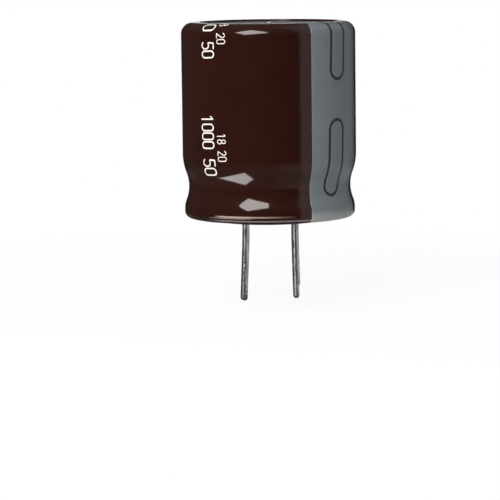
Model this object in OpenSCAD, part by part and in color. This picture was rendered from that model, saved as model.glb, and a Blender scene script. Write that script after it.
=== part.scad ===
// Radial aluminium electrolytic capacitor: a sleeved can on two wire leads.
// Millimetres. +Z is up and z = 0 is the face of the seal, which sits on the board.
// The positive lead is at -X and the negative lead, under the stripe, at +X.

/* [Can] */
// Diameter of the drawn can, over its bare wall
can_d = 18; // [16:0.5:20]
// Height of the can, from its rolled rim to its closed end
can_h = 20.2; // [18:0.1:30]
// Thickness of the can's metal
can_wall = 0.35; // [0.25:0.05:0.45]
// Outer radius of the corner at the closed end
can_corner_r = 1; // [0.6:0.1:1.6]
// Height of the bead's narrowest place above the rolled rim
bead_z = 3.15; // [2.7:0.05:3.4]
// How far the bead goes into the can, measured on the radius
bead_depth = 0.63; // [0.5:0.01:0.75]
// Radius of the hollow at the bottom of the bead
bead_r = 4.1; // [3:0.1:4.5]
// Slope of the bead's two flanks, from the upright
bead_slope = 20.5; // [18:0.5:24]
// Radius where the bead's upper flank turns into the wall
shoulder_r = 5.6; // [3:0.1:6]
// How far the bulge between the bead and the rolled rim stays behind the wall
rim_inset = 0.17; // [0:0.01:0.25]
// Radius of that bulge
rim_bulge_r = 2.3; // [1.5:0.1:2.6]
// Outer radius of the rolled rim
roll_r = 0.45; // [0.4:0.05:0.6]
// How far the rolled rim reaches in from the can's wall
rim_width = 1.8; // [1.5:0.1:2]
// Height of the lip that the rolled rim presses into the seal
lip_h = 0.75; // [0.6:0.05:1]
// Distance from the can's wall to the ends of the pressure vent's lines
vent_margin = 3.5; // [2.5:0.1:5]
// Width of the vent's scored lines
vent_width = 0.4; // [0.2:0.05:0.6]
// Depth of the vent's scored lines
vent_depth = 0.15; // [0.1:0.01:0.2]

/* [Sleeve] */
// Thickness of the shrunk film
sleeve_t = 0.2; // [0.1:0.02:0.3]
// Play that shrinking leaves between the film and the can
shrink_gap = 0.02; // [0.01:0.01:0.05]
// How far the film reaches in over the closed end, from the can's wall
top_fold = 1.7; // [1.2:0.1:2.5]
// How far the film reaches in under the rolled rim, from the can's wall
foot_fold = 1.1; // [0.9:0.1:1.3]

/* [Stripe] */
// Width of the polarity stripe around the sleeve, in degrees
stripe_angle = 48; // [30:1:60]
// Direction of the stripe's middle, in degrees from the negative lead
stripe_turn = 8.6; // [-15:0.1:15]
// Thickness of a printed layer
ink_t = 0.03; // [0.02:0.01:0.05]
// Width of the outlined marks on the stripe
mark_w = 2.3; // [1.8:0.1:3]
// Length of the lower mark
mark_length = 8.1; // [6:0.1:9]
// Bare stretch of stripe between two marks
mark_space = 4; // [3:0.1:6]
// Height of the lower mark's lower end above the sleeve's foot
mark_foot = 2.6; // [1.6:0.1:3]
// Width of a mark's line
mark_line = 0.2; // [0.12:0.02:0.3]

/* [Seal] */
// Height of the rubber plug
seal_h = 5.2; // [4.8:0.1:5.6]
// How far the seal's face stands below the sleeve
seal_proud = 0.35; // [0.2:0.05:0.6]
// Width of the trough between the seal's face and the rolled rim
trough_width = 1.2; // [0.9:0.1:1.5]
// Depth of that trough
trough_depth = 0.9; // [0.6:0.05:1]
// Slope of the trough's inner side, from the upright
trough_slope = 20; // [5:1:25]
// Rounding of the face's edge
seal_edge_r = 0.3; // [0.1:0.05:0.4]
// Rounding at the bottom of the trough
trough_edge_r = 0.15; // [0.1:0.05:0.2]
// Play between the rubber and what it grips
seal_fit = 0.02; // [0.01:0.01:0.05]
// Diameter of the dimple around each lead
dimple_d = 1.5; // [1.3:0.1:1.8]
// Depth of that dimple
dimple_depth = 0.35; // [0.2:0.05:0.5]

/* [Leads] */
// Distance between the two leads at the seal
lead_pitch = 7.5; // [7:0.1:8]
// Diameter of the tinned wire
lead_d = 0.8; // [0.6:0.05:0.9]
// Reach of the positive lead below the seal
positive_lead_drop = 9.1; // [7:0.1:20]
// Reach of the negative lead below the seal
negative_lead_drop = 8.1; // [7:0.1:20]
// Outward lean of the positive lead's free end, in degrees
positive_lean = 3.7; // [1:0.1:5]
// Outward lean of the negative lead's free end, in degrees
negative_lean = 1.9; // [1:0.1:5]
// Straight length of a lead before it starts to lean
lead_exit = 0.6; // [0.2:0.1:1]
// Length of the bend between the straight and the leaning stretch
bend_length = 3; // [2:0.1:4]
// Height of the taper that the cutter leaves at a lead's end
tip_h = 0.3; // [0.1:0.05:0.5]
// Diameter of that cut end
tip_d = 0.44; // [0.3:0.02:0.54]

/* [Terminals] */
// Diameter of the round aluminium boss in the seal
boss_d = 2; // [1.6:0.1:2.4]
// Height of the boss's lower end, where the wire is welded on
boss_z = 1.7; // [1.4:0.1:2.2]
// Length of boss that stands above the seal
boss_proud = 0.4; // [0.3:0.1:0.6]
// Height over which the boss is pressed flat
flatten_h = 1; // [0.8:0.1:1.2]
// Opening of the press dies at the boss, before they close on the blade
press_w = 2.8; // [2:0.1:3.2]
// Thickness of the flat blade
blade_t = 0.25; // [0.2:0.01:0.3]
// Width of the flat blade
blade_w = 3; // [2.4:0.1:3.4]

/* [Winding] */
// Thickness of the etched anode foil
anode_t = 0.11; // [0.09:0.01:0.13]
// Thickness of the cathode foil
cathode_t = 0.05; // [0.03:0.01:0.06]
// Thickness of a paper separator
paper_t = 0.05; // [0.03:0.01:0.07]
// Play between one layer and the next
layer_play = 0.005; // [0.005:0.001:0.01]
// Diameter of the hole that the winding spindle leaves
core_d = 3; // [2.4:0.1:3.6]
// Gap between the winding and the can's wall
wall_gap = 0.2; // [0.1:0.05:0.3]
// Gap between the winding and the can's closed end
end_gap = 0.3; // [0.2:0.05:0.5]
// Space between the flattened bosses and the paper
paper_clearance = 0.2; // [0.1:0.05:0.4]
// How far the paper stands past the foils at each end
paper_margin = 0.7; // [0.4:0.1:1]
// Thickness of the tape that closes the winding
tape_t = 0.06; // [0.04:0.01:0.08]
// Height of that tape
tape_h = 10; // [8:0.5:12]

/* [Hidden] */
$fn = 144;

// Heights that several pieces share
can_foot = seal_proud + sleeve_t + shrink_gap;
can_top = can_foot + can_h;
sleeve_top = can_top + shrink_gap + sleeve_t;
bosses_top = seal_h + boss_proud;
blades_foot = bosses_top + flatten_h;
paper_foot = blades_foot + paper_clearance;
paper_top = can_top - can_wall - end_gap;
foil_foot = paper_foot + paper_margin;
foil_top = paper_top - paper_margin;

// How far an arc runs past its tangent circle, and how far a corner's piece runs past its edges
hair = 0.002;
overlap = 0.1;

// Share of an edge that the roundings at its two ends may take
edge_share = 0.98;

// Turned outlines. A path is a list of corners [r, z, rounding] that runs with the
// outside of the metal on its left, and an outline is a closed path with its solid on the right.

function heading(a, b) = [b.x - a.x, b.y - a.y] / norm([b.x - a.x, b.y - a.y]);
function left_of(v) = [-v.y, v.x];

// Length of edge that one corner's rounding takes on each side
function taken(a, b, c, r) = r * tan(acos(max(-1, min(1, heading(a, b) * heading(b, c)))) / 2);

function turns_right(a, b, c) = cross(heading(a, b), heading(b, c)) < 0;

// Part of its two roundings that the edge from a corner to the next has room for
function room(path, i, used) =
    let (edge = norm([path[i + 1].x - path[i].x, path[i + 1].y - path[i].y]))
    let (wanted = used[i] + used[i + 1])
    wanted <= edge_share * edge ? 1 : edge_share * edge / wanted;

// The path with each rounding limited to what its two edges hold
function limited(path) =
    let (last = len(path) - 1)
    let (used = [for (i = [0:last])
        i == 0 || i == last ? 0 : taken(path[i - 1], path[i], path[i + 1], path[i].z)])
    [for (i = [0:last]) i == 0 || i == last ? path[i]
        : [path[i].x, path[i].y, path[i].z * min(room(path, i - 1, used), room(path, i, used))]];

// One corner of a path moved outward by d, its arc kept about the same centre
function moved_corner(a, b, c, d) =
    let (n1 = left_of(heading(a, b)))
    let (n2 = left_of(heading(b, c)))
    let (p = [b.x, b.y] + d * (n1 + n2) / (1 + n1 * n2))
    let (outward = turns_right(a, b, c) ? d : -d)
    [p.x, p.y, b.z == 0 ? 0 : max(0, b.z + outward)];

function moved_end(at, from, to, d) =
    let (n = left_of(heading(from, to)))
    [at.x + d * n.x, at.y + d * n.y, 0];

// The whole path moved outward by d
function moved(path, d) =
    let (last = len(path) - 1)
    [for (i = [0:last])
        i == 0 ? moved_end(path[0], path[0], path[1], d)
        : i == last ? moved_end(path[last], path[last - 1], path[last], d)
        : moved_corner(path[i - 1], path[i], path[i + 1], d)];

function reversed(list) = [for (i = [len(list) - 1:-1:0]) list[i]];

// What the arc of one corner takes off an outline, or fills in. The arc is a hair wide, so that
// it crosses its two edges and doesn't only touch them.
module corner_piece(a, b, c) {
    here = [b.x, b.y];
    n1 = left_of(heading(a, b));
    n2 = left_of(heading(b, c));
    away = (n1 + n2) / (1 + n1 * n2) * (turns_right(a, b, c) ? 1 : -1);
    side = turns_right(a, b, c) ? 1 : -1;
    along = taken(a, b, c, b.z);
    centre = here - b.z * away;
    wedge = [centre, here - along * heading(a, b) + side * overlap * n1,
        here + overlap * away, here + along * heading(b, c) + side * overlap * n2];
    difference() {
        polygon(turns_right(a, b, c) ? reversed(wedge) : wedge);
        translate(centre) circle(r = b.z + hair);
    }
}

// A closed outline with its corners rounded by true arcs. It is listed clockwise, and every
// polygon is drawn counter-clockwise, so that all the pieces face the same way.
module outline(corners) {
    n = len(corners);
    function before(i) = corners[(i + n - 1) % n];
    function after(i) = corners[(i + 1) % n];
    difference() {
        union() {
            polygon(reversed([for (c = corners) [c.x, c.y]]));
            for (i = [0:n - 1])
                if (corners[i].z > 0 && !turns_right(before(i), corners[i], after(i)))
                    corner_piece(before(i), corners[i], after(i));
        }
        for (i = [0:n - 1])
            if (corners[i].z > 0 && turns_right(before(i), corners[i], after(i)))
                corner_piece(before(i), corners[i], after(i));
    }
}

// All that lies between a path and the axis
module inside(path) {
    last = len(path) - 1;
    outline(concat(path, [[0, path[last].y, 0]], path[0].x > 0 ? [[0, path[0].y, 0]] : []));
}

// A sheet that follows a path, from inner to outer outside it
module sheet(path, inner, outer) {
    difference() {
        inside(moved(path, outer));
        inside(moved(path, inner));
    }
}

// The can's outer surface, from the axis over the closed end and down to the lip
can_r = can_d / 2;
rim_r = can_r - rim_inset;
roll_mouth_r = can_r - rim_width;
bead_mid_z = can_foot + bead_z;
bead_corner_r = can_r - bead_depth - bead_r * (1 / cos(bead_slope) - 1);
function on_flank(r) = (r - bead_corner_r) / tan(bead_slope);

can_path = limited([
    [0, can_top, 0],
    [can_r, can_top, can_corner_r],
    [can_r, bead_mid_z + on_flank(can_r), shoulder_r],
    [bead_corner_r, bead_mid_z, bead_r],
    [rim_r, bead_mid_z - on_flank(rim_r), rim_bulge_r],
    [rim_r, can_foot, roll_r],
    [roll_mouth_r, can_foot, roll_r],
    [roll_mouth_r, can_foot + lip_h, 0]
]);

// The film follows the can between its two edges
film_mouth_r = can_r - top_fold;
film_foot_r = can_r - foot_fold;
film_path = concat([[film_mouth_r, can_top, 0]],
    [for (i = [1:5]) can_path[i]],
    [[film_foot_r, can_foot, 0]]);
film_inside = shrink_gap;
film_outside = shrink_gap + sleeve_t;

// One scored line of the vent, its groove as wide as stated where it opens
module vent_line() {
    top_half = vent_width / 2 * (1 + overlap / vent_depth);
    rotate([90, 0, 0])
        linear_extrude(height = can_d - 2 * vent_margin, center = true)
            polygon([[0, -vent_depth], [top_half, overlap], [-top_half, overlap]]);
}

module can() {
    color([0.80, 0.81, 0.82])
    difference() {
        rotate_extrude() sheet(can_path, -can_wall, 0);
        for (turn = [45, 135])
            translate([0, 0, can_top]) rotate(turn) vent_line();
    }
}

// A layer of the film, between two distances from the can
module film_layer(inner, outer) {
    middle_z = (can_foot + can_top) / 2;
    difference() {
        sheet(film_path, inner, outer);
        translate([0, middle_z]) square([film_mouth_r, can_h]);
        translate([0, middle_z - can_h]) square([film_foot_r, can_h]);
    }
}

module sleeve() {
    color([0.16, 0.08, 0.06])
    rotate_extrude() film_layer(film_inside, film_outside);
}

module polarity_stripe() {
    color([0.38, 0.40, 0.42])
    rotate_extrude(angle = stripe_angle, start = stripe_turn - stripe_angle / 2)
        film_layer(film_outside, film_outside + ink_t);
}

// An outlined oblong, upright from foot to top
module oblong(foot, top, width) {
    translate([-width / 2, foot + width / 2]) square([width, top - foot - width]);
    translate([0, foot + width / 2]) circle(d = width);
    translate([0, top - width / 2]) circle(d = width);
}

// The printed marks repeat up the stripe, and the top edge cuts the last one
module minus_marks() {
    first_foot = seal_proud + mark_foot;
    color([0.14, 0.16, 0.18])
    intersection() {
        rotate_extrude(angle = stripe_angle, start = stripe_turn - stripe_angle / 2)
            film_layer(film_outside + ink_t, film_outside + 2 * ink_t);
        rotate([0, 0, stripe_turn]) rotate([90, 0, 90])
            linear_extrude(height = can_d)
                for (foot = [first_foot:mark_length + mark_space:can_top])
                    difference() {
                        oblong(foot, foot + mark_length, mark_w);
                        oblong(foot + mark_line, foot + mark_length - mark_line,
                            mark_w - 2 * mark_line);
                    }
    }
}

// Seal
inner_path = moved(can_path, -can_wall - seal_fit);
lip_top = can_foot + lip_h + seal_fit;
lip_inside_r = roll_mouth_r - seal_fit;
face_r = roll_mouth_r - trough_width;
trough_r = face_r + trough_depth * tan(trough_slope);

// The rubber fills the can up to the rolled rim, then steps in to its own face
seal_outline = concat(
    [for (i = [0:5]) inner_path[i]],
    [inner_path[6], [inner_path[6].x, lip_top, 0],
        [lip_inside_r, lip_top, 0], [lip_inside_r, trough_depth, 0],
        [trough_r, trough_depth, trough_edge_r], [face_r, 0, seal_edge_r], [0, 0, 0]]);

// Bore for one terminal and its wire
module terminal_bore() {
    lead_r = lead_d / 2 + seal_fit;
    translate([0, 0, boss_z - seal_fit]) cylinder(d = boss_d + 2 * seal_fit, h = seal_h);
    translate([0, 0, -1]) cylinder(r = lead_r, h = boss_z + 1);
    translate([0, 0, -dimple_depth])
        cylinder(r1 = dimple_d - lead_r, r2 = lead_r, h = 2 * dimple_depth);
}

module rubber_seal() {
    color([0.06, 0.06, 0.06])
    difference() {
        rotate_extrude() intersection() {
            outline(seal_outline);
            square([can_d, seal_h]);
        }
        for (side = [-1, 1])
            translate([side * lead_pitch / 2, 0, 0]) terminal_bore();
    }
}

// A lead that leans towards +X, from its weld down to its cut end. The bend is a hair thinner
// than the wire and runs a little way into both straight stretches.
module lead(drop, lean) {
    lead_r = lead_d / 2;
    bend_r = bend_length / (lean * PI / 180);
    bend_foot = [bend_r * (1 - cos(lean)), 0, -lead_exit - bend_r * sin(lean)];
    free_length = (drop + bend_foot.z) / cos(lean);
    run_in = overlap / bend_r * 180 / PI;
    translate([0, 0, -lead_exit]) cylinder(r = lead_r, h = boss_z + lead_exit);
    translate([bend_r, 0, -lead_exit]) rotate([90, 0, 0])
        rotate_extrude(angle = lean + 2 * run_in, start = 180 - run_in)
            translate([bend_r, 0]) circle(r = lead_r - hair);
    translate(bend_foot) rotate([0, 180 - lean, 0]) {
        cylinder(r = lead_r, h = free_length - tip_h);
        translate([0, 0, free_length - tip_h])
            cylinder(d1 = lead_d, d2 = tip_d, h = tip_h);
    }
}

module positive_lead() {
    color([0.78, 0.78, 0.77])
    translate([-lead_pitch / 2, 0, 0]) mirror([1, 0, 0]) lead(positive_lead_drop, positive_lean);
}

module negative_lead() {
    color([0.78, 0.78, 0.77])
    translate([lead_pitch / 2, 0, 0]) lead(negative_lead_drop, negative_lean);
}

// Winding. Layers from the spindle outward: anode foil, paper, cathode foil, paper.
// Each layer is a spiral of half turns that meet on the Y axis. Even halves lie on the +X side.
ANODE = 0;
INNER_PAPER = 1;
CATHODE = 2;
OUTER_PAPER = 3;
layer_t = [anode_t, paper_t, cathode_t, paper_t];
layer_base = [0, anode_t + layer_play, anode_t + paper_t + 2 * layer_play,
    anode_t + paper_t + cathode_t + 3 * layer_play];
turn_pitch = layer_base[OUTER_PAPER] + paper_t + layer_play;
blade_lift = blade_t + layer_play;
core_r = core_d / 2;

// The half turn on each side at which the winding runs over the blade of a lead
blade_face_r = lead_pitch / 2 - blade_t / 2 - core_r;
positive_half = 2 * round((blade_face_r / turn_pitch * 2 - 1) / 2) + 1;
negative_half = positive_half - 1;

// Distance from the axis at which a layer crosses the Y axis for the jth time
function crossing(layer, j) = core_r + layer_base[layer] + j * turn_pitch / 2
    + (j >= positive_half ? blade_lift : 0)
    + (j >= negative_half + (layer < CATHODE ? 2 : 0) ? blade_lift : 0);
function half_r(layer, k) = (crossing(layer, k) + crossing(layer, k + 1)) / 2;
function half_y(layer, k) = (crossing(layer, k + 1) - crossing(layer, k)) / 2 * (k % 2 == 0 ? 1 : -1);

// Half turns that fit inside the can, an even number
winding_r = can_r - can_wall - wall_gap;
free_r = winding_r - core_r - turn_pitch - 2 * blade_lift - tape_t - layer_play;
half_turns = 2 * floor(free_r / turn_pitch);

// One half turn of a ribbon, seen from above
module half_turn(r, y, t, k) {
    translate([0, y])
    intersection() {
        difference() {
            circle(r = r + t);
            circle(r = r);
        }
        translate([k % 2 == 0 ? 0 : -2 * r, -2 * r]) square([2 * r, 4 * r]);
    }
}

module ribbon(layer, first, last, foot, top) {
    translate([0, 0, foot])
        linear_extrude(height = top - foot)
            for (k = [first:last])
                half_turn(half_r(layer, k), half_y(layer, k), layer_t[layer], k);
}

module anode_foil() {
    color([0.62, 0.63, 0.64]) ribbon(ANODE, 2, half_turns - 3, foil_foot, foil_top);
}

module cathode_foil() {
    color([0.72, 0.73, 0.74]) ribbon(CATHODE, 2, half_turns - 3, foil_foot, foil_top);
}

module inner_separator() {
    color([0.86, 0.82, 0.72]) ribbon(INNER_PAPER, 0, half_turns - 1, paper_foot, paper_top);
}

module outer_separator() {
    color([0.86, 0.82, 0.72]) ribbon(OUTER_PAPER, 0, half_turns - 1, paper_foot, paper_top);
}

module winding_tape() {
    off = paper_t + layer_play;
    color([0.75, 0.65, 0.30])
    translate([0, 0, (paper_foot + paper_top - tape_h) / 2])
        linear_extrude(height = tape_h)
            for (k = [half_turns - 2, half_turns - 1])
                half_turn(half_r(OUTER_PAPER, k) + off, half_y(OUTER_PAPER, k), tape_t, k);
}

// A terminal at +X: round boss, pressed shoulder and blade. The blade lies against its foil,
// which crosses here as half turn k.
module terminal(layer, k) {
    blade_r = half_r(layer, k) - layer_play - blade_t;
    blade_angle = blade_w / (blade_r + blade_t / 2) * 180 / PI;
    boss_x = lead_pitch / 2;
    side = k % 2 == 0 ? 1 : -1;
    translate([boss_x, 0, boss_z]) cylinder(d = boss_d, h = bosses_top - boss_z);
    intersection() {
        translate([0, side * half_y(layer, k), 0])
            rotate_extrude(angle = 2 * blade_angle, start = -blade_angle)
                polygon([[boss_x - press_w / 2, bosses_top], [boss_x + press_w / 2, bosses_top],
                    [blade_r + blade_t, blades_foot], [blade_r, blades_foot]]);
        translate([boss_x, 0, bosses_top])
            cylinder(d1 = boss_d, d2 = blade_w, h = flatten_h);
    }
    translate([0, side * half_y(layer, k), blades_foot])
        rotate_extrude(angle = blade_angle, start = -blade_angle / 2)
            translate([blade_r, 0]) square([blade_t, foil_top - blades_foot]);
}

module negative_terminal() {
    color([0.75, 0.76, 0.77]) terminal(CATHODE, negative_half);
}

module positive_terminal() {
    color([0.75, 0.76, 0.77]) rotate(180) terminal(ANODE, positive_half);
}

sleeve();
polarity_stripe();
minus_marks();
can();
rubber_seal();
positive_lead();
negative_lead();
positive_terminal();
negative_terminal();
anode_foil();
cathode_foil();
inner_separator();
outer_separator();
winding_tape();
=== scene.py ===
"""Looks of a radial electrolytic capacitor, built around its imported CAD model."""
import bmesh
import bpy
import math
import numpy as np
from mathutils import Matrix, Vector, noise


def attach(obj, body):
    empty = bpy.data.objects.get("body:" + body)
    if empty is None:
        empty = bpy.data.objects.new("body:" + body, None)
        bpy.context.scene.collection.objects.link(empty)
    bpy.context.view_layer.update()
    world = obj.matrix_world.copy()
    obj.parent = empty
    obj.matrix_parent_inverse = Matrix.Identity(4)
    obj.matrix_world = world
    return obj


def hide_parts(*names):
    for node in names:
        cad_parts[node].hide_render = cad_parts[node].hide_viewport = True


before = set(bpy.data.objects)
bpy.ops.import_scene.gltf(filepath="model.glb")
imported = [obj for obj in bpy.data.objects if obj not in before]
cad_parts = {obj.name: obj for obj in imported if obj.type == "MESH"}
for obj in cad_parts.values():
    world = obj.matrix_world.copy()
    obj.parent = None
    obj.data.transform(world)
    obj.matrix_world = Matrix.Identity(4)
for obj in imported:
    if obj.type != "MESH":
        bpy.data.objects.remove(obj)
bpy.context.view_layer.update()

MM = 0.001

# Sizes that part.scad gives, in millimetres
CAN_R = 9.0
CAN_FOOT = 0.57
CAN_TOP = 20.77
CORNER_R = 1.0
BEAD_Z = 3.15
BEAD_DEPTH = 0.63
BEAD_R = 4.1
BEAD_SLOPE = 20.5
SHOULDER_R = 5.6
RIM_R = 8.83
RIM_BULGE_R = 2.3
ROLL_R = 0.45
ROLL_MOUTH_R = 7.2
LIP_H = 0.75
MOUTH_R = 7.3
FOOT_R = 7.9
SHRINK_GAP = 0.02
SLEEVE_T = 0.2
STRIPE_ANGLE = 48.0
STRIPE_TURN = 8.6
MARK_W = 2.3
MARK_LENGTH = 8.1
MARK_SPACE = 4.0
MARK_FOOT = 2.95
MARK_LINE = 0.2
LEAD_PITCH = 7.5
LEAD_R = 0.4
LEAD_EXIT = 0.6
BEND_LENGTH = 3.0
BOSS_Z = 1.7
EDGE_SHARE = 0.98

FILM = SHRINK_GAP + SLEEVE_T

# How far round the part the camera stands, which is also the angle of the picture's right
AZIMUTH = math.radians(46.0)


# The can's outline, as part.scad draws it
def heading(a, b):
    v = np.array([b[0] - a[0], b[1] - a[1]])
    return v / np.linalg.norm(v)


def left_of(v):
    return np.array([-v[1], v[0]])


def turn_angle(a, b, c):
    return math.acos(max(-1.0, min(1.0, float(heading(a, b) @ heading(b, c)))))


def turns_right(a, b, c):
    u, v = heading(a, b), heading(b, c)
    return u[0] * v[1] - u[1] * v[0] < 0


def limited(path):
    last = len(path) - 1
    used = [0.0] * (last + 1)
    for i in range(1, last):
        used[i] = path[i][2] * math.tan(turn_angle(*path[i - 1:i + 2]) / 2)

    def room(i):
        edge = math.dist(path[i][:2], path[i + 1][:2])
        wanted = used[i] + used[i + 1]
        return 1.0 if wanted <= EDGE_SHARE * edge else EDGE_SHARE * edge / wanted

    return [p if i in (0, last) else (p[0], p[1], p[2] * min(room(i - 1), room(i)))
            for i, p in enumerate(path)]


def film_corners():
    mid_z = CAN_FOOT + BEAD_Z
    slope = math.radians(BEAD_SLOPE)
    bead_r = CAN_R - BEAD_DEPTH - BEAD_R * (1 / math.cos(slope) - 1)

    def flank(r):
        return (r - bead_r) / math.tan(slope)

    can = limited([
        (0, CAN_TOP, 0), (CAN_R, CAN_TOP, CORNER_R),
        (CAN_R, mid_z + flank(CAN_R), SHOULDER_R), (bead_r, mid_z, BEAD_R),
        (RIM_R, mid_z - flank(RIM_R), RIM_BULGE_R), (RIM_R, CAN_FOOT, ROLL_R),
        (ROLL_MOUTH_R, CAN_FOOT, ROLL_R), (ROLL_MOUTH_R, CAN_FOOT + LIP_H, 0)])
    return [(MOUTH_R, CAN_TOP, 0)] + can[1:6] + [(FOOT_R, CAN_FOOT, 0)]


def sampled(corners, step, turn_step):
    """Points and outward normals along a path with rounded corners."""
    points, normals = [np.array(corners[0][:2])], [left_of(heading(*corners[:2]))]

    def straight(to, n):
        start = points[-1]
        count = max(1, int(round(np.linalg.norm(to - start) / step)))
        for k in range(1, count + 1):
            points.append(start + (to - start) * k / count)
            normals.append(n)

    for a, b, c in zip(corners, corners[1:], corners[2:]):
        u, v = heading(a, b), heading(b, c)
        n1, n2 = left_of(u), left_of(v)
        angle = turn_angle(a, b, c)
        reach = b[2] * math.tan(angle / 2)
        here = np.array(b[:2])
        straight(here - reach * u, n1)
        side = 1 if turns_right(a, b, c) else -1
        centre = here - reach * u - side * b[2] * n1
        count = max(2, int(round(math.degrees(angle) / turn_step)))
        for k in range(1, count + 1):
            t = -side * angle * k / count
            n = np.array([n1[0] * math.cos(t) - n1[1] * math.sin(t),
                          n1[0] * math.sin(t) + n1[1] * math.cos(t)])
            points.append(centre + side * b[2] * n)
            normals.append(n)
    straight(np.array(corners[-1][:2]), left_of(heading(*corners[-2:])))
    return np.array(points), np.array(normals)


PATH_STEP = 0.42
PATH_TURN_STEP = 2.6
PATH, NORMAL = sampled(film_corners(), PATH_STEP, PATH_TURN_STEP)
RUN = np.concatenate([[0], np.cumsum(np.linalg.norm(np.diff(PATH, axis=0), axis=1))])
LAST_RUN = RUN[-1]
# Heights between which each height is met once, and how far the upper one may be passed
WALL_LOW, WALL_TOP, WALL_SPARE = 1.1, 19.0, 0.6
FALLING = PATH[:, 1] < WALL_TOP + WALL_SPARE
WALL = FALLING & (PATH[:, 1] > WALL_LOW)
RUN_AT_WALL_TOP = float(np.interp(-WALL_TOP, -PATH[FALLING, 1], RUN[FALLING]))


def run_at(height):
    """Where the film is at a height. Above the wall's top, height goes on along the film."""
    if height > WALL_TOP:
        return max(0.0, RUN_AT_WALL_TOP - (height - WALL_TOP))
    return float(np.interp(-height, -PATH[WALL, 1], RUN[WALL]))


def round_noise(angle, waves, along):
    """Noise that meets itself after a full turn. More waves give a finer one."""
    return noise.noise(Vector((waves * math.cos(angle), waves * math.sin(angle), along)))


# Waves of the shrunk film, in millimetres. All of it is drawn in a little.
WALL_WAVE = 0.004
WALL_DRAWN_IN = 0.01
EDGE_WAVE = 0.03
MOUTH_WAVE_REACH = 0.55
FOOT_WAVE_REACH = 0.5


def ripple(run, angle):
    """How far the shrunk film stands off its even shape, in millimetres."""
    wall = WALL_WAVE * round_noise(angle, 1.3, run * 0.16) - WALL_DRAWN_IN
    mouth = math.exp(-((run - 0.1) / MOUTH_WAVE_REACH) ** 2)
    foot = math.exp(-((LAST_RUN - run) / FOOT_WAVE_REACH) ** 2)
    pucker = round_noise(angle, 9, 3.1)
    tuck = round_noise(angle, 7, 8.4)
    return wall + EDGE_WAVE * mouth * pucker + EDGE_WAVE * foot * tuck


def radius_at(run):
    """The film path's radius."""
    return np.interp(run, RUN, PATH[:, 0])


def profile_at(run, lift):
    """A point of the film's section, lifted off the can by a distance."""
    p = np.array([radius_at(run), np.interp(run, RUN, PATH[:, 1])])
    n = np.array([np.interp(run, RUN, NORMAL[:, 0]), np.interp(run, RUN, NORMAL[:, 1])])
    return p + lift * n / np.linalg.norm(n)


def film_point(run, angle, lift):
    p = profile_at(run, lift + ripple(run, angle))
    return Vector((p[0] * math.cos(angle), p[0] * math.sin(angle), p[1])) * MM


# Mesh helpers
def added(name, data):
    """A new object in the scene."""
    obj = bpy.data.objects.new(name, data)
    bpy.context.scene.collection.objects.link(obj)
    return obj


def new_piece(name, verts, faces):
    mesh = bpy.data.meshes.new(name)
    mesh.from_pydata([tuple(v) for v in verts], [], faces)
    bm = bmesh.new()
    bm.from_mesh(mesh)
    bmesh.ops.recalc_face_normals(bm, faces=bm.faces)
    bm.to_mesh(mesh)
    bm.free()
    for f in mesh.polygons:
        f.use_smooth = True
    return added(name, mesh)


def grid_faces(rows, columns, close_rows=False, close_columns=False, first=0):
    faces = []
    for i in range(rows if close_rows else rows - 1):
        for j in range(columns if close_columns else columns - 1):
            i2, j2 = (i + 1) % rows, (j + 1) % columns
            faces.append((first + i * columns + j, first + i * columns + j2,
                          first + i2 * columns + j2, first + i2 * columns + j))
    return faces


def add_film_places(obj, values):
    """Stores each vertex's angle and run on the film, which a material reads as an attribute."""
    layer = obj.data.attributes.new("film", "FLOAT_VECTOR", "POINT")
    layer.data.foreach_set("vector", np.array(values, np.float32).ravel())


# Sleeve
TURN_STEPS = 384
# How far the cut edges stay back, how far they wander and how far down that is felt
EDGE_TRIM = 0.06
MOUTH_SHIFT, MOUTH_SHIFT_REACH = 0.14, 1.2
FOOT_SHIFT, FOOT_SHIFT_REACH = 0.12, 0.8
EDGE_STEPS = 6


def edge_shift(angle, seed, size):
    """How far a cut edge of the film wanders."""
    return size * (round_noise(angle, 1.7, seed) + 0.4 * round_noise(angle, 6, seed))


def clamped(value):
    return max(0.0, min(1.0, value))


def sleeve_section(angle):
    """Closed section of the film at an angle: outside, foot edge, inside, mouth edge."""
    start = EDGE_TRIM + edge_shift(angle, 1.5, MOUTH_SHIFT)
    end = LAST_RUN - EDGE_TRIM - edge_shift(angle, 5.5, FOOT_SHIFT)
    half = SLEEVE_T / 2
    mid = SHRINK_GAP + half
    points = []

    def place(run, lift):
        shift = clamped(1 - run / MOUTH_SHIFT_REACH) * start
        shift -= clamped(1 - (LAST_RUN - run) / FOOT_SHIFT_REACH) * (LAST_RUN - end)
        rippled = ripple(run + shift, angle)
        p = profile_at(run + shift, lift + rippled)
        points.append((p[0], p[1], run + shift))

    def round_edge(run, side, along):
        for k in range(1, EDGE_STEPS):
            t = math.pi * k / EDGE_STEPS
            p = profile_at(run, mid + side * half * math.cos(t) + ripple(run, angle))
            q = p + along * half * math.sin(t)
            points.append((q[0], q[1], run))

    for run in RUN:
        place(run, FILM)
    round_edge(end, 1, heading(PATH[-2], PATH[-1]))
    for run in RUN[::-1][::2]:
        place(run, SHRINK_GAP)
    round_edge(start, -1, np.array([-1.0, 0.0]))
    return points


def make_sleeve():
    verts, film = [], []
    for i in range(TURN_STEPS):
        angle = 2 * math.pi * i / TURN_STEPS
        for r, z, run in sleeve_section(angle):
            verts.append(Vector((r * math.cos(angle), r * math.sin(angle), z)) * MM)
            film.append((angle, run, 0))
    columns = len(verts) // TURN_STEPS
    obj = new_piece("sleeve_film", verts,
                    grid_faces(TURN_STEPS, columns, close_rows=True, close_columns=True))
    add_film_places(obj, film)
    return obj


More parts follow.
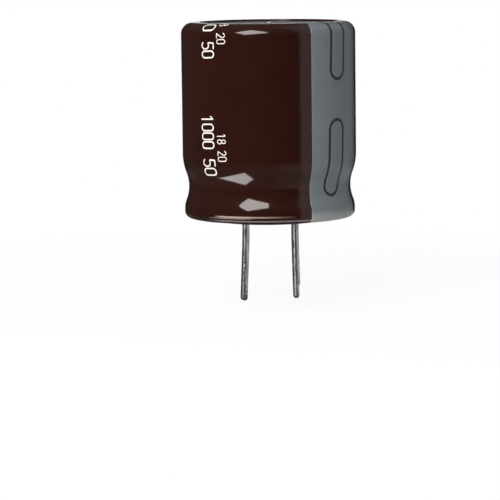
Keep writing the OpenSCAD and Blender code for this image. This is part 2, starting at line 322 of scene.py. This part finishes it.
# Printed layers. The print lies a little askew on the film, as the photograph shows.
INK_T = 0.012
PRINT_SHIFT = 0.2
PRINT_LEAN = 0.03
MARK_STROKE = 0.34
MARK_STROKE_H = 0.008
MARK_ARC_STEPS = 24
STROKE_STEP = 0.12
STROKE_SINK = 0.006
STRIPE_SINK = 0.02
STRIPE_TRIM = 0.12
STRIPE_EDGE = 0.15
STRIPE_END = 0.2
STRIPE_COLUMNS = 73


def film_patch(name, runs, angles, lift):
    """A thin closed layer on the film. lift(run, angle) is its height above the film."""
    verts, film = [], []
    rows, columns = len(runs), len(angles)
    for bottom in (False, True):
        for run in runs:
            for angle in angles:
                height = -STRIPE_SINK if bottom else lift(run, angle)
                verts.append(film_point(run, angle, FILM + height))
                film.append((angle, run, 0))
    faces = grid_faces(rows, columns)
    faces += [tuple(reversed(f)) for f in grid_faces(rows, columns, first=rows * columns)]
    rim = [(i, 0) for i in range(rows)] + [(rows - 1, j) for j in range(1, columns)]
    rim += [(i, columns - 1) for i in range(rows - 2, -1, -1)]
    rim += [(0, j) for j in range(columns - 2, 0, -1)]
    low = rows * columns
    for (a, b), (c, d) in zip(rim, rim[1:] + rim[:1]):
        p, q = a * columns + b, c * columns + d
        faces.append((p, low + p, low + q, q))
    obj = new_piece(name, verts, faces)
    add_film_places(obj, film)
    return obj


def make_stripe():
    half = math.radians(STRIPE_ANGLE / 2)
    middle = math.radians(STRIPE_TURN)
    angles = [middle + half * t for t in np.linspace(-1, 1, STRIPE_COLUMNS)]
    first, last = STRIPE_TRIM, LAST_RUN - STRIPE_TRIM
    runs = np.unique(np.concatenate([RUN[(RUN > first) & (RUN < last)], [first, last]]))

    def lift(run, angle):
        side = (half - abs(angle - middle)) * CAN_R
        end = min(run - STRIPE_TRIM, LAST_RUN - STRIPE_TRIM - run)
        return INK_T * max(0.25, min(1.0, side / STRIPE_EDGE, 0.3 + end / STRIPE_END))

    return film_patch("stripe_print", runs, angles, lift)


# How far along a stroke's round end its sections stand, as shares of half the width
END_STEPS = (0.4, 0.72, 0.92, 0.999)


def stroke(points, width, top, closed, place):
    """A drawn line of even width as a thin closed strip, with round ends if it is open."""
    pts = np.array(points, float)
    radius = width / 2
    if closed:
        widths = np.full(len(pts), radius)
    else:
        first = (pts[0] - pts[1]) / np.linalg.norm(pts[0] - pts[1])
        last = (pts[-1] - pts[-2]) / np.linalg.norm(pts[-1] - pts[-2])
        head = [pts[0] + first * radius * t for t in reversed(END_STEPS)]
        tail = [pts[-1] + last * radius * t for t in END_STEPS]
        halves = [math.sqrt(1 - t * t) for t in END_STEPS]
        widths = np.array(halves[::-1] + [1.0] * len(pts) + halves) * radius
        pts = np.vstack([head, pts, tail])
    ahead = np.roll(pts, -1, 0) - np.roll(pts, 1, 0)
    if not closed:
        ahead[0], ahead[-1] = pts[1] - pts[0], pts[-1] - pts[-2]
    ahead /= np.linalg.norm(ahead, axis=1)[:, None]
    across = np.stack([-ahead[:, 1], ahead[:, 0]], 1)
    section = [(-1, -STROKE_SINK), (-0.9, 0.7 * top), (0, top), (0.9, 0.7 * top),
               (1, -STROKE_SINK), (0, -2 * STROKE_SINK)]
    verts = []
    for p, n, w in zip(pts, across, widths):
        for s, h in section:
            verts.append(place(*(p + n * w * s), h))
    rows, columns = len(pts), len(section)
    faces = grid_faces(rows, columns, close_rows=closed, close_columns=True)
    if not closed:
        faces.append(tuple(range(columns)))
        faces.append(tuple((rows - 1) * columns + j for j in reversed(range(columns))))
    return verts, faces


def join_strips(name, strips):
    verts, faces = [], []
    for v, f in strips:
        base = len(verts)
        verts += v
        faces += [tuple(base + k for k in face) for face in f]
    return new_piece(name, verts, faces)


def densified(points, step):
    pts = [np.array(p, float) for p in points]
    out = [pts[0]]
    for a, b in zip(pts, pts[1:]):
        count = max(1, int(math.ceil(np.linalg.norm(b - a) / step)))
        out += [a + (b - a) * k / count for k in range(1, count + 1)]
    return out


def arc(cx, cy, rx, ry, start, end, count):
    return [(cx + rx * math.cos(math.radians(t)), cy + ry * math.sin(math.radians(t)))
            for t in np.linspace(start, end, count)]


def make_marks():
    """The outlines of the stripe's two marks. The upper one runs out over the top edge."""
    radius = (MARK_W - MARK_LINE) / 2

    def place(y, height, lift):
        run = run_at(height)
        r = radius_at(run) + FILM
        y -= PRINT_SHIFT + PRINT_LEAN * (WALL_TOP - height)
        angle = math.radians(STRIPE_TURN) + math.asin(y / r)
        return film_point(run, angle, FILM + INK_T + lift)

    def half_ring(middle, start, end):
        return arc(0, middle, radius, radius, start, end, MARK_ARC_STEPS)

    def side(x, start, end):
        return densified([(x, start), (x, end)], STROKE_STEP)

    low = MARK_FOOT + MARK_LINE / 2 + radius
    high = MARK_FOOT + MARK_LENGTH - MARK_LINE / 2 - radius
    ring = half_ring(low, 180, 360) + side(radius, low, high)[1:]
    ring += half_ring(high, 0, 180)[1:] + side(-radius, high, low)[1:-1]
    low += MARK_LENGTH + MARK_SPACE
    top = WALL_TOP + RUN_AT_WALL_TOP - 0.22
    hook = side(-radius, top, low) + half_ring(low, 180, 360)[1:] + side(radius, low, top)[1:]
    return join_strips("mark_lines", [
        stroke(ring, MARK_STROKE, MARK_STROKE_H, True, place),
        stroke(hook, MARK_STROKE, MARK_STROKE_H, False, place)])


# Plain numbers, as strokes in a box one unit high
GLYPH_R = 0.21


def glyph(which):
    r = GLYPH_R
    if which == "0":
        return [arc(r, 1 - r, r, r, 0, 180, 9) + arc(r, r, r, r, 180, 360, 9)]
    if which == "1":
        return [[(0.08, 0.82), (0.24, 1.0), (0.24, 0.0)]]
    if which == "5":
        return [[(0.4, 1.0), (0.06, 1.0), (0.03, 0.6)] + arc(0.2, 0.31, 0.23, 0.3, 120, -140, 14)]
    if which == "8":
        return [arc(r, 0.76, 0.18, 0.23, -90, 270, 16), arc(r, 0.27, 0.21, 0.27, 90, 450, 16)]
    if which == "2":
        return [arc(r, 0.76, 0.2, 0.23, 165, -35, 10) + [(0.01, 0.0), (0.43, 0.0)]]
    return []


# Each line's text, digit height, stroke width, distance between digits, start height and angle
NUMBER_LINES = (("1000 50", 1.62, 0.165, 0.91, 11.55, -88.2),
                ("18 20", 1.0, 0.105, 0.6, 9.7, -76.6))
NUMBER_TILT = 2.2
NUMBER_STROKE_H = 0.006
NUMBER_STEP = 0.1


def number_strips(text, size, line, pace, height, turn):
    """Strokes of a line of numbers that reads down the sleeve from a height."""
    lean, angle = math.radians(NUMBER_TILT), math.radians(turn)
    out = []

    def place(u, v, lift):
        down = u * math.cos(lean) - v * math.sin(lean)
        aside = u * math.sin(lean) + v * math.cos(lean)
        run = run_at(height - down)
        r = radius_at(run) + FILM
        return film_point(run, angle + aside / r, FILM + lift)

    for k, which in enumerate(text):
        if height - k * pace > WALL_TOP + RUN_AT_WALL_TOP - 0.4:
            continue
        for line_points in glyph(which):
            pts = [(k * pace + x * size, (y - 0.5) * size) for x, y in line_points]
            pts = densified(pts, NUMBER_STEP)
            ring = which == "0"
            if ring:
                pts = densified(pts + pts[:1], NUMBER_STEP)[:-1]
            out.append(stroke(pts, line, NUMBER_STROKE_H, ring, place))
    return out


def make_numbers():
    strips = []
    for up in (0, MARK_LENGTH + MARK_SPACE):
        for text, size, line, pace, height, turn in NUMBER_LINES:
            strips += number_strips(text, size, line, pace, height + up, turn)
    return join_strips("number_print", strips)


# Leads
# Steps along and round a wire, and the depths of its drawn lines, dents and nicks
WIRE_SIDES = 64
EXIT_STEPS, BEND_STEPS, STRAIGHT_STEPS = 12, 14, 120
WIRE_TRIM = 0.006
DRAWN_DEPTH = 0.006
DENT_DEPTH = 0.048
NICK_DEPTH = 0.09
NICK_LEVEL = 0.22
TIP_LENGTH = 0.34
TIP_ROUND = 0.9
NIP_LENGTH = 1.5
NIP_EDGE = 0.25


def lead_path(side, drop, lean_deg):
    """Centre line of a lead from its weld to its end, and its direction at each point."""
    lean = math.radians(lean_deg)
    bend_r = BEND_LENGTH / lean
    x0 = LEAD_PITCH / 2
    points = [(x0, z, 0.0) for z in np.linspace(BOSS_Z, -LEAD_EXIT, EXIT_STEPS)]
    for t in np.linspace(0, lean, BEND_STEPS)[1:]:
        points.append((x0 + bend_r * (1 - math.cos(t)), -LEAD_EXIT - bend_r * math.sin(t), t))
    x1, z1, _ = points[-1]
    length = (drop + z1) / math.cos(lean)
    for d in np.linspace(0, length, STRAIGHT_STEPS)[1:]:
        points.append((x1 + d * math.sin(lean), z1 - d * math.cos(lean), lean))
    return [(side * x, z, side * t) for x, z, t in points]


def make_lead(name, side, drop, lean, seed, slant, nip):
    """A drawn wire. Its tip leans to one side, and its last stretch may be nipped at the right."""
    path = lead_path(side, drop, lean)
    runs = [0.0]
    for a, b in zip(path, path[1:]):
        runs.append(runs[-1] + math.dist(a[:2], b[:2]))
    verts = []
    for (x, z, t), run in zip(path, runs):
        left = runs[-1] - run
        nipped = nip * clamped((NIP_LENGTH - left) / NIP_EDGE)
        tip = clamped(1 - left / TIP_LENGTH)
        aside = slant * tip * tip
        for j in range(WIRE_SIDES):
            a = 2 * math.pi * j / WIRE_SIDES
            c, s = math.cos(a), math.sin(a)
            dent = noise.noise(Vector((1.6 * c + seed, 1.6 * s, run * 0.9)))
            nick = noise.noise(Vector((2.6 * c + seed, 2.6 * s - run, run * 3.1)))
            r = LEAD_R - WIRE_TRIM - DRAWN_DEPTH * round_noise(a, 5, seed + run * 0.05)
            r -= DENT_DEPTH * max(0.0, dent) ** 2 + NICK_DEPTH * max(0.0, nick - NICK_LEVEL)
            r = min(r, LEAD_R) * (1 - nipped * max(0.0, math.cos(a - AZIMUTH)) ** 2)
            r *= math.sqrt(1 - (TIP_ROUND * tip) ** 2)
            u = r * c + aside * math.cos(AZIMUTH)
            v = r * s + aside * math.sin(AZIMUTH)
            verts.append(Vector((x + u * math.cos(t), v, z + u * math.sin(t))) * MM)
    rows = len(path)
    faces = grid_faces(rows, WIRE_SIDES, close_columns=True)
    faces.append(tuple(range(WIRE_SIDES)))
    faces.append(tuple((rows - 1) * WIRE_SIDES + j for j in reversed(range(WIRE_SIDES))))
    return new_piece(name, verts, faces)


# Materials
def empty_material(name):
    m = bpy.data.materials.new(name)
    m.use_nodes = True
    m.node_tree.nodes.clear()
    return m, m.node_tree


def material(name, ior=None):
    m, tree = empty_material(name)
    bsdf = node(tree, "ShaderNodeBsdfPrincipled")
    link(tree, bsdf.outputs[0], node(tree, "ShaderNodeOutputMaterial").inputs[0])
    if ior:
        bsdf.inputs["IOR"].default_value = ior
    return m, tree, bsdf


def node(tree, kind, **values):
    n = tree.nodes.new(kind)
    for key, value in values.items():
        setattr(n, key, value)
    return n


def link(tree, a, b):
    tree.links.new(a, b)


def split(tree, vector):
    """The three outputs of a vector."""
    n = node(tree, "ShaderNodeSeparateXYZ")
    link(tree, vector, n.inputs[0])
    return n.outputs


def dot(tree, vector, axis):
    n = node(tree, "ShaderNodeVectorMath", operation="DOT_PRODUCT")
    link(tree, vector, n.inputs[0])
    n.inputs[1].default_value = axis
    return n.outputs["Value"]


def object_coords(tree, scale=(1, 1, 1)):
    coords = node(tree, "ShaderNodeTexCoord")
    mapping = node(tree, "ShaderNodeMapping")
    mapping.inputs["Scale"].default_value = scale
    link(tree, coords.outputs["Object"], mapping.inputs["Vector"])
    return mapping.outputs["Vector"]


def noise_of(tree, vector, scale, detail, rough=0.5):
    n = node(tree, "ShaderNodeTexNoise")
    n.inputs["Scale"].default_value = scale
    n.inputs["Detail"].default_value = detail
    n.inputs["Roughness"].default_value = rough
    link(tree, vector, n.inputs["Vector"])
    return n.outputs["Fac"]


def mapped(tree, value, low, high, to_low, to_high):
    n = node(tree, "ShaderNodeMapRange")
    for key, number in zip(("From Min", "From Max", "To Min", "To Max"),
                           (low, high, to_low, to_high)):
        n.inputs[key].default_value = number
    link(tree, value, n.inputs["Value"])
    return n.outputs["Result"]


def mixed(tree, factor, a, b):
    n = node(tree, "ShaderNodeMix", data_type="RGBA")
    link(tree, factor, n.inputs["Factor"])
    for socket, value in ((n.inputs[6], a), (n.inputs[7], b)):
        if isinstance(value, tuple):
            socket.default_value = value
        else:
            link(tree, value, socket)
    return n.outputs[2]


def mixed_shader(tree, factor, a, b):
    n = node(tree, "ShaderNodeMixShader")
    link(tree, factor, n.inputs[0])
    link(tree, a, n.inputs[1])
    link(tree, b, n.inputs[2])
    return n.outputs[0]


def maths(tree, operation, a, b=None):
    n = node(tree, "ShaderNodeMath", operation=operation)
    for socket, value in zip(n.inputs, (a, b)):
        if value is None:
            continue
        if isinstance(value, (int, float)):
            socket.default_value = value
        else:
            link(tree, value, socket)
    return n.outputs[0]


def bump(tree, bsdf, height, strength, distance):
    n = node(tree, "ShaderNodeBump")
    n.inputs["Strength"].default_value = strength
    n.inputs["Distance"].default_value = distance
    link(tree, height, n.inputs["Height"])
    link(tree, n.outputs["Normal"], bsdf.inputs["Normal"])


def rgb(r, g, b):
    return (r, g, b, 1.0)


def smooth(tree, value, low, high, start=0, end=1):
    n = mapped(tree, value, low, high, start, end)
    n.node.interpolation_type = "SMOOTHSTEP"
    return n


def product(tree, *values):
    total = values[0]
    for value in values[1:]:
        total = maths(tree, "MULTIPLY", total, value)
    return total


def line_at(tree, value, middle, half):
    """One at a middle value, falling softly to nothing at half a width from it."""
    away = maths(tree, "ABSOLUTE", maths(tree, "SUBTRACT", value, middle))
    return smooth(tree, away, 0.6 * half, half, 1, 0)


def two_tones(tree, value, low, high):
    """A colour between two, as a noise says."""
    return mixed(tree, mapped(tree, value, 0.3, 0.7, 0, 1), low, high)


# The film's angle, from 0 to a full turn, that faces the camera, at the middle of the painted
# highlight lines along its foot
FRONT_ANGLE = math.radians(316)
PLASTIC_IOR = 1.45
FINE_BUMP = 0.00002
# Angles past the stripe's side at which the painted reflection, a greyish band beside the stripe,
# starts and ends fading
REFLECTION_BAND_START, REFLECTION_BAND_END = 6.0, 8.2
# Heights of the two painted highlight lines on the film's foot, and their half width
PAINTED_HIGHLIGHT_Z, PAINTED_EDGE_HIGHLIGHT_Z, LINE_HALF = 1.1 * MM, 0.66 * MM, 0.1 * MM
# Heights over which painted shade darkens the film's lowest part
PAINTED_UNDERSIDE_SHADE_Z = (0.53 * MM, 0.6 * MM)
# Heights between which painted light from below pales the stripe towards its foot
FOOT_PAINTED_GLOW_Z = (1.7 * MM, 0.7 * MM)


def film_material():
    """Brown film. Painted into its colour: a reflection as a greyish band beside the stripe,
    highlights as pale lines along its drawn-in foot on the camera's side, and shade under that
    foot.
    """
    m, tree, bsdf = material("sleeve_film", PLASTIC_IOR)
    coords = object_coords(tree)
    place = node(tree, "ShaderNodeAttribute", attribute_name="film").outputs["Vector"]
    angle = split(tree, place)[0]
    height = split(tree, coords)[2]
    colour = two_tones(tree, noise_of(tree, coords, 260, 3), rgb(0.0168, 0.0044, 0.0028),
                       rgb(0.0202, 0.0052, 0.0033))

    turn = maths(tree, "SUBTRACT", angle, math.radians(STRIPE_TURN))
    wrapped = maths(tree, "WRAP", turn, math.pi)
    wrapped.node.inputs[2].default_value = -math.pi
    # Painted reflection: a lighter, greyish band beside the stripe
    painted_reflection_band = mapped(tree, maths(tree, "ABSOLUTE", wrapped),
                  math.radians(STRIPE_ANGLE / 2 + REFLECTION_BAND_START),
                  math.radians(STRIPE_ANGLE / 2 + REFLECTION_BAND_END), 1.0, 0.0)
    colour = mixed(tree, painted_reflection_band, colour, rgb(0.026, 0.0125, 0.0110))

    def front(turned):
        return FRONT_ANGLE + math.radians(turned)

    uneven = mapped(tree, noise_of(tree, coords, 700, 3), 0.2, 0.5, 0.55, 1.0)
    # Painted highlight: a pale line along the foot, only on the side that faces the camera
    painted_highlight = product(tree, line_at(tree, height, PAINTED_HIGHLIGHT_Z, LINE_HALF),
                   mapped(tree, angle, front(-40), front(-34), 0, 1),
                   mapped(tree, angle, front(-15), front(18), 1, 0), uneven)
    colour = mixed(tree, painted_highlight, colour, rgb(0.36, 0.27, 0.25))
    # Painted highlight: a greyish line lower on the foot, around the side that faces the camera
    edge = product(tree, line_at(tree, height, PAINTED_EDGE_HIGHLIGHT_Z, LINE_HALF),
                   line_at(tree, angle, FRONT_ANGLE, math.radians(50)))
    colour = mixed(tree, edge, colour, rgb(0.20, 0.165, 0.155))
    # Painted shade: the film's lowest part, on the side that faces the camera, goes near black
    painted_underside_shade = product(tree, mapped(tree, height, *PAINTED_UNDERSIDE_SHADE_Z, 1, 0),
                    line_at(tree, angle, front(-11), math.radians(42)))
    colour = mixed(tree, painted_underside_shade, colour, rgb(0.003, 0.0015, 0.0015))
    link(tree, colour, bsdf.inputs["Base Color"])

    smudge = noise_of(tree, coords, 420, 4, 0.6)
    link(tree, mapped(tree, smudge, 0.35, 0.75, 0.07, 0.13), bsdf.inputs["Roughness"])
    bump(tree, bsdf, noise_of(tree, coords, 1800, 2), 0.02, FINE_BUMP)
    return m


def ink_material(name, low, high, rough, foot=None):
    """Printed ink. With a foot colour, it pales towards the rim, where the film is drawn round it:
    painted light from below.
    """
    m, tree, bsdf = material(name, PLASTIC_IOR)
    coords = object_coords(tree)
    speckle = noise_of(tree, coords, 900, 4, 0.6)
    colour = two_tones(tree, speckle, low, high)
    if foot:
        # Painted light: the ink pales towards the foot, as lit from the floor below
        painted_foot_glow = mapped(tree, split(tree, coords)[2], *FOOT_PAINTED_GLOW_Z, 0, 0.9)
        colour = mixed(tree, painted_foot_glow, colour, foot)
    link(tree, colour, bsdf.inputs["Base Color"])
    link(tree, mapped(tree, speckle, 0.3, 0.7, rough - 0.03, rough + 0.04),
         bsdf.inputs["Roughness"])
    bump(tree, bsdf, speckle, 0.02, FINE_BUMP)
    return m


def metal_material(name, low, high, rough, stretch, scale, depth=0.00001, strength=0.3):
    """Bare metal with streaks along the axis that is stretched, and with duller spots."""
    m, tree, bsdf = material(name)
    streak = noise_of(tree, object_coords(tree, stretch), scale, 5, 0.6)
    spots = noise_of(tree, object_coords(tree), scale * 0.6, 4, 0.7)
    link(tree, two_tones(tree, streak, low, high), bsdf.inputs["Base Color"])
    bsdf.inputs["Metallic"].default_value = 1.0
    link(tree, mapped(tree, spots, 0.3, 0.7, rough * 0.7, rough * 1.5), bsdf.inputs["Roughness"])
    both = maths(tree, "ADD", streak, maths(tree, "MULTIPLY", spots, 0.6))
    bump(tree, bsdf, both, strength, depth)
    return m


def soft_material(name, low, high, rough, scale, depth, shine=0.5):
    """Rubber, etched foil, paper or tape: an even, grainy surface."""
    m, tree, bsdf = material(name)
    bsdf.inputs["Specular IOR Level"].default_value = shine
    grain = noise_of(tree, object_coords(tree), scale, 5, 0.6)
    link(tree, two_tones(tree, grain, low, high), bsdf.inputs["Base Color"])
    link(tree, mapped(tree, grain, 0.3, 0.7, rough - 0.06, rough + 0.08),
         bsdf.inputs["Roughness"])
    bump(tree, bsdf, grain, 0.3, depth)
    return m


film = film_material()
# The stripe's foot colour is painted light from below
stripe_ink = ink_material("stripe_ink", rgb(0.128, 0.149, 0.170), rgb(0.142, 0.163, 0.184),
                          0.13, foot=rgb(0.32, 0.33, 0.325))
mark_ink = ink_material("mark_ink", rgb(0.010, 0.013, 0.017), rgb(0.015, 0.018, 0.022), 0.14)
number_ink = ink_material("number_ink", rgb(0.66, 0.64, 0.62), rgb(0.80, 0.78, 0.76), 0.2)
can_metal = metal_material("can_metal", rgb(0.52, 0.52, 0.51), rgb(0.64, 0.64, 0.63), 0.32,
                           (1, 14, 1), 900)
seal_rubber = soft_material("seal_rubber", rgb(0.004, 0.004, 0.004), rgb(0.010, 0.0095, 0.009),
                            0.8, 2400, 0.00003, 0.15)
wire = metal_material("tinned_wire", rgb(0.20, 0.205, 0.19), rgb(0.84, 0.85, 0.81), 0.2,
                      (1, 1, 0.08), 5200, 0.00002, 0.5)
terminal_metal = metal_material("terminal_metal", rgb(0.60, 0.61, 0.62), rgb(0.74, 0.74, 0.75),
                                0.35, (1, 1, 0.1), 2600)
anode_etch = soft_material("etched_foil", rgb(0.20, 0.20, 0.21), rgb(0.32, 0.32, 0.33),
                           0.7, 5000, 0.00001)
cathode_etch = soft_material("cathode_foil", rgb(0.32, 0.32, 0.33), rgb(0.44, 0.44, 0.45),
                             0.6, 5000, 0.00001)
wet_paper = soft_material("wet_paper", rgb(0.46, 0.40, 0.28), rgb(0.60, 0.54, 0.40),
                          0.5, 3200, 0.00002)
tape_film = soft_material("tape_film", rgb(0.50, 0.36, 0.08), rgb(0.58, 0.44, 0.13),
                          0.3, 1500, 0.00001)


def dress(obj, m):
    obj.data.materials.clear()
    obj.data.materials.append(m)


for name, m in (("can", can_metal), ("rubber_seal", seal_rubber),
                ("positive_terminal", terminal_metal), ("negative_terminal", terminal_metal),
                ("anode_foil", anode_etch), ("cathode_foil", cathode_etch),
                ("inner_separator", wet_paper), ("outer_separator", wet_paper),
                ("winding_tape", tape_film)):
    dress(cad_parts[name], m)

pieces = [
    (make_sleeve(), film, "sleeve_film", ["sleeve"]),
    (make_stripe(), stripe_ink, "stripe_ink", ["polarity_stripe"]),
    (make_marks(), mark_ink, "mark_ink", ["minus_marks"]),
    (make_numbers(), number_ink, "sleeve_film", []),
    (make_lead("positive_wire", -1, 9.1, 3.7, 2.0, 0.07, 0.0), wire, "tinned_wire",
     ["positive_lead"]),
    (make_lead("negative_wire", 1, 8.1, 1.9, 7.0, -0.03, 0.3), wire, "tinned_wire",
     ["negative_lead"]),
]
for piece, m, slot, replaced in pieces:
    dress(piece, m)
    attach(piece, "root")
    if replaced:
        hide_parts(*replaced)

# Camera, fitted to the photograph's frame of 500 by 500 pixels
TO_CAMERA = Vector((math.sin(AZIMUTH), -math.cos(AZIMUTH), 0))
RIGHT = Vector((math.cos(AZIMUTH), math.sin(AZIMUTH), 0))
UP = Vector((0, 0, 1))
CAMERA_AWAY, CAMERA_HEIGHT = 278.0, 29.6
PITCH, YAW, ROLL = math.radians(-6.747), math.radians(0.45), math.radians(-0.69)
FOCAL_PIXELS = 2627.0
PICTURE_PIXELS = 500.0
SENSOR = 36.0

cam_data = bpy.data.cameras.new("camera")
cam_data.sensor_width = SENSOR
cam_data.lens = SENSOR * FOCAL_PIXELS / PICTURE_PIXELS
cam_data.clip_start, cam_data.clip_end = 0.01, 20.0
camera = added("camera", cam_data)
flat = -TO_CAMERA * math.cos(YAW) - RIGHT * math.sin(YAW)
forward = flat * math.cos(PITCH) + UP * math.sin(PITCH)
across = forward.cross(UP).normalized()
upward = across.cross(forward)
across, upward = (across * math.cos(ROLL) + upward * math.sin(ROLL),
                  upward * math.cos(ROLL) - across * math.sin(ROLL))
where = (TO_CAMERA * CAMERA_AWAY + UP * CAMERA_HEIGHT) * MM
camera.matrix_world = Matrix((
    (across.x, upward.x, -forward.x, where.x),
    (across.y, upward.y, -forward.y, where.y),
    (across.z, upward.z, -forward.z, where.z),
    (0, 0, 0, 1)))
bpy.context.scene.camera = camera

# Stage, in millimetres round the part
FLOOR_Z = -9.32
FLOOR_R = 75.0
FLOOR_FADE = 0.6
FLOOR_GLOW = 0.92
KEY_RADIANCE = 10.5
KEY_AWAY = 260
KEY_AIM = Vector((0, 0, 8))
LOW_RADIANCE = 9.3
LOW_CARD_Z = -1.0
FLANK_R = 8.9
WIRE_CARD_Z = (-9.2, -0.4)
WARM_WHITE = (1.0, 0.95, 0.91, 1.0)
COOL_WHITE = (0.98, 1.0, 0.96, 1.0)


def direction(turn, rise):
    """The way from the object to a point right of the camera and above the horizon, in degrees."""
    a, e = math.radians(turn), math.radians(rise)
    return (TO_CAMERA * math.cos(a) + RIGHT * math.sin(a)) * math.cos(e) + UP * math.sin(e)


def card(name, verts, radiance, diffuse=True, colour=WARM_WHITE):
    """A flat lit panel of any outline, which shines towards the object only."""
    mesh = bpy.data.meshes.new(name)
    mesh.from_pydata([tuple(v * MM) for v in verts], [], [tuple(range(len(verts)))])
    obj = added(name, mesh)
    m, tree = empty_material(name)
    shine = node(tree, "ShaderNodeEmission")
    shine.inputs["Strength"].default_value = radiance
    shine.inputs["Color"].default_value = colour
    back = node(tree, "ShaderNodeNewGeometry").outputs["Backfacing"]
    clear = node(tree, "ShaderNodeBsdfTransparent").outputs[0]
    both = mixed_shader(tree, back, shine.outputs[0], clear)
    link(tree, both, node(tree, "ShaderNodeOutputMaterial").inputs[0])
    mesh.materials.append(m)
    obj.visible_camera = False
    obj.visible_shadow = False
    obj.visible_diffuse = diffuse


# The key light, which gives the highlights at the top edge and on the rim
key_verts = [KEY_AIM + KEY_AWAY * direction(turn, rise)
             for turn, rise in ((-46, 30), (-30, 56), (-2, 36), (-2, 27), (-30, 12))]
card("key_light", key_verts, KEY_RADIANCE)


def low_point(turn, rise, from_turn, from_z):
    """Where a ray from the film's flank meets the level of the low card, below the film's foot."""
    start = direction(from_turn, 0) * FLANK_R + UP * from_z
    way = direction(turn, rise)
    return start + way * ((LOW_CARD_Z - from_z) / way.z)


# The low card, which gives the highlight above the bead
card("low_card", [low_point(-23.5, -47, -9.7, 4.5), low_point(-95, -35.4, -41.0, 4.5),
                  low_point(-88, -32.6, -38.2, 4.5), low_point(-37, -29, -16.5, 5.1)],
     LOW_RADIANCE, False)

# Narrow upright cards close to the wires, below the can, which only the wires' metal shows.
# Each has its turn from the camera, distance, width and radiance.
WIRE_CARDS = (("left", -32, 2.4, 1.0, 1.05), ("right", 86, 4.5, 5.6, 0.56))

for which, x in (("positive", -4.15), ("negative", 3.9)):
    for label, turn, away, width, radiance in WIRE_CARDS:
        way = direction(turn, 0)
        middle = Vector((x, 0, 0)) + away * way
        half = UP.cross(way) * width / 2
        low, high = (UP * z for z in WIRE_CARD_Z)
        card(which + "_wire_card_" + label,
             [middle + half + low, middle - half + low, middle - half + high,
              middle + half + high], radiance, False, COOL_WHITE)

floor_mesh = bpy.data.meshes.new("floor")
bm = bmesh.new()
bmesh.ops.create_circle(bm, cap_ends=True, segments=96, radius=FLOOR_R * MM)
bm.to_mesh(floor_mesh)
bm.free()
floor = added("floor", floor_mesh)
floor.location = (0, 0, FLOOR_Z * MM)


def ray_kinds(tree):
    """Whether a ray comes from the camera, and whether it comes off or through something."""
    path = node(tree, "ShaderNodeLightPath").outputs
    return (path["Is Camera Ray"],
            maths(tree, "MAXIMUM", path["Is Glossy Ray"], path["Is Transmission Ray"]))


def floor_material():
    """White to the camera, dim in reflections, plain for light, and faded out at its rim."""
    m, tree = empty_material("floor")
    out = node(tree, "ShaderNodeOutputMaterial")
    coords = object_coords(tree)
    diffuse = node(tree, "ShaderNodeBsdfDiffuse")
    grain = noise_of(tree, coords, 60, 3)
    link(tree, mixed(tree, grain, rgb(0.84, 0.84, 0.84), rgb(0.88, 0.88, 0.88)),
         diffuse.inputs["Color"])
    seen, mirrored = ray_kinds(tree)
    glow = node(tree, "ShaderNodeEmission")
    side = mapped(tree, dot(tree, coords, RIGHT), 0, 40 * MM, 0.06, 0.5)
    link(tree, mixed(tree, mirrored, rgb(1, 1, 1), side), glow.inputs["Color"])
    glowing = product(tree, maths(tree, "MAXIMUM", seen, mirrored), FLOOR_GLOW)
    surface = mixed_shader(tree, glowing, diffuse.outputs[0], glow.outputs[0])
    place = node(tree, "ShaderNodeVectorMath", operation="LENGTH")
    link(tree, coords, place.inputs[0])
    fade = mapped(tree, place.outputs["Value"], FLOOR_FADE * FLOOR_R * MM, FLOOR_R * MM, 0, 1)
    below = node(tree, "ShaderNodeNewGeometry").outputs["Backfacing"]
    clear = node(tree, "ShaderNodeBsdfTransparent")
    link(tree, mixed_shader(tree, maths(tree, "MAXIMUM", fade, below), surface, clear.outputs[0]),
         out.inputs[0])
    return m


floor.data.materials.append(floor_material())

world = bpy.data.worlds.new("studio")
world.use_nodes = True
bpy.context.scene.world = world
tree = world.node_tree
tree.nodes.clear()
out = node(tree, "ShaderNodeOutputWorld")
back = node(tree, "ShaderNodeBackground")
link(tree, back.outputs[0], out.inputs[0])


# How bright the studio's walls, its height and its base are in reflections
RIGHT_WALL, LEFT_WALL, HEIGHT, BASE = 0.33, 0.035, 0.12, 0.02
FILL_TURN, FILL_LOW, FILL_HIGH = -92, 0.14, 1.06


def room(way):
    """The studio in reflections: white backdrop, dim walls beside it and a dim height."""
    turn = maths(tree, "ARCTAN2", dot(tree, way, RIGHT), dot(tree, way, TO_CAMERA))
    rise = dot(tree, way, UP)

    def between(start, start_end, end_start, end):
        return [smooth(tree, turn, math.radians(a), math.radians(b))
                for a, b in ((start, start_end), (end_start, end))]

    right_wall = product(tree, *between(40, 42, 152, 130), RIGHT_WALL)
    left_wall = product(tree, *between(25, -45, -160, -130), LEFT_WALL)
    behind = smooth(tree, maths(tree, "ABSOLUTE", turn), math.radians(166), math.radians(174))
    backdrop = product(tree, behind, smooth(tree, rise, 0.12, 0.06))
    total = maths(tree, "ADD", right_wall, left_wall)
    total = maths(tree, "ADD", total, product(tree, smooth(tree, rise, 0.0, 0.9), HEIGHT))
    total = maths(tree, "ADD", total, BASE)
    return maths(tree, "MAXIMUM", total, backdrop)


def fill(way):
    """The soft light that surrounds the object, stronger from the key light's side."""
    return mapped(tree, dot(tree, way, direction(FILL_TURN, 0)), -1, 1, FILL_LOW, FILL_HIGH)


way = node(tree, "ShaderNodeTexCoord").outputs["Generated"]
seen, mirrored = ray_kinds(tree)
level = mixed(tree, mirrored, fill(way), room(way))
link(tree, mixed(tree, seen, level, rgb(1, 1, 1)), back.inputs["Color"])

bpy.context.scene.view_settings.view_transform = "Standard"
